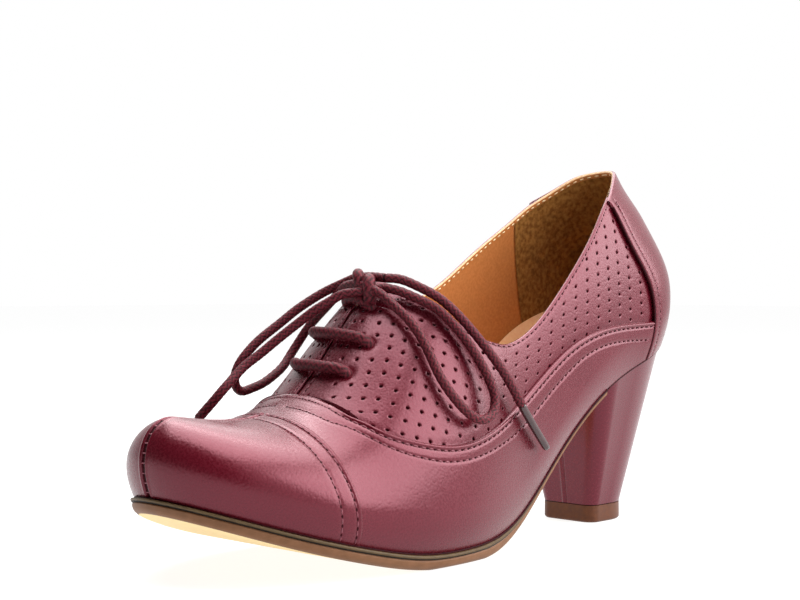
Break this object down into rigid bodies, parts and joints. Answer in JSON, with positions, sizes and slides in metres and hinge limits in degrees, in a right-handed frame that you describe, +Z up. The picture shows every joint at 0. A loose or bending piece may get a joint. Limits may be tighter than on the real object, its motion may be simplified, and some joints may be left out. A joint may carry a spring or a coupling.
{
  "type": "lace-up shoe",
  "caption": "Low-cut leather lace-up shoe for the left foot, with a tapered block heel, seamed toe cap, perforated quarters and a bow of round lace.",
  "frame": {"origin": "on the floor, under the middle of the shoe's box without its free lace", "axes": "+X from heel to toe, +Y to the outer side of the left foot, +Z up"},
  "size_m": [0.2373, 0.0792, 0.1316],
  "materials": {
    "burgundy_leather": "polished smooth leather",
    "tan_lining": "matt lining leather",
    "brown_sole": "moulded satin rubber",
    "waxed_cotton": "round waxed braid",
    "aglet_plastic": "clear film over the braid"
  },
  "bodies": {
    "root": {"upper": "burgundy_leather", "wing_panel": "burgundy_leather", "toe_cap_outer": "burgundy_leather", "toe_cap_inner": "burgundy_leather", "back_stay": "burgundy_leather", "tongue": "burgundy_leather", "insole": "tan_lining", "outsole": "brown_sole", "heel": "burgundy_leather", "heel_tip": "brown_sole", "lace_bar_1": "waxed_cotton", "lace_bar_2": "waxed_cotton", "lace_bar_3": "waxed_cotton", "lace_knot": "waxed_cotton", "lace_loop_right": "waxed_cotton", "lace_end_right": "waxed_cotton", "aglet_right": "aglet_plastic", "lace_loop_left": "waxed_cotton", "lace_end_left": "waxed_cotton", "aglet_left": "aglet_plastic"}
  },
  "joints": []
}
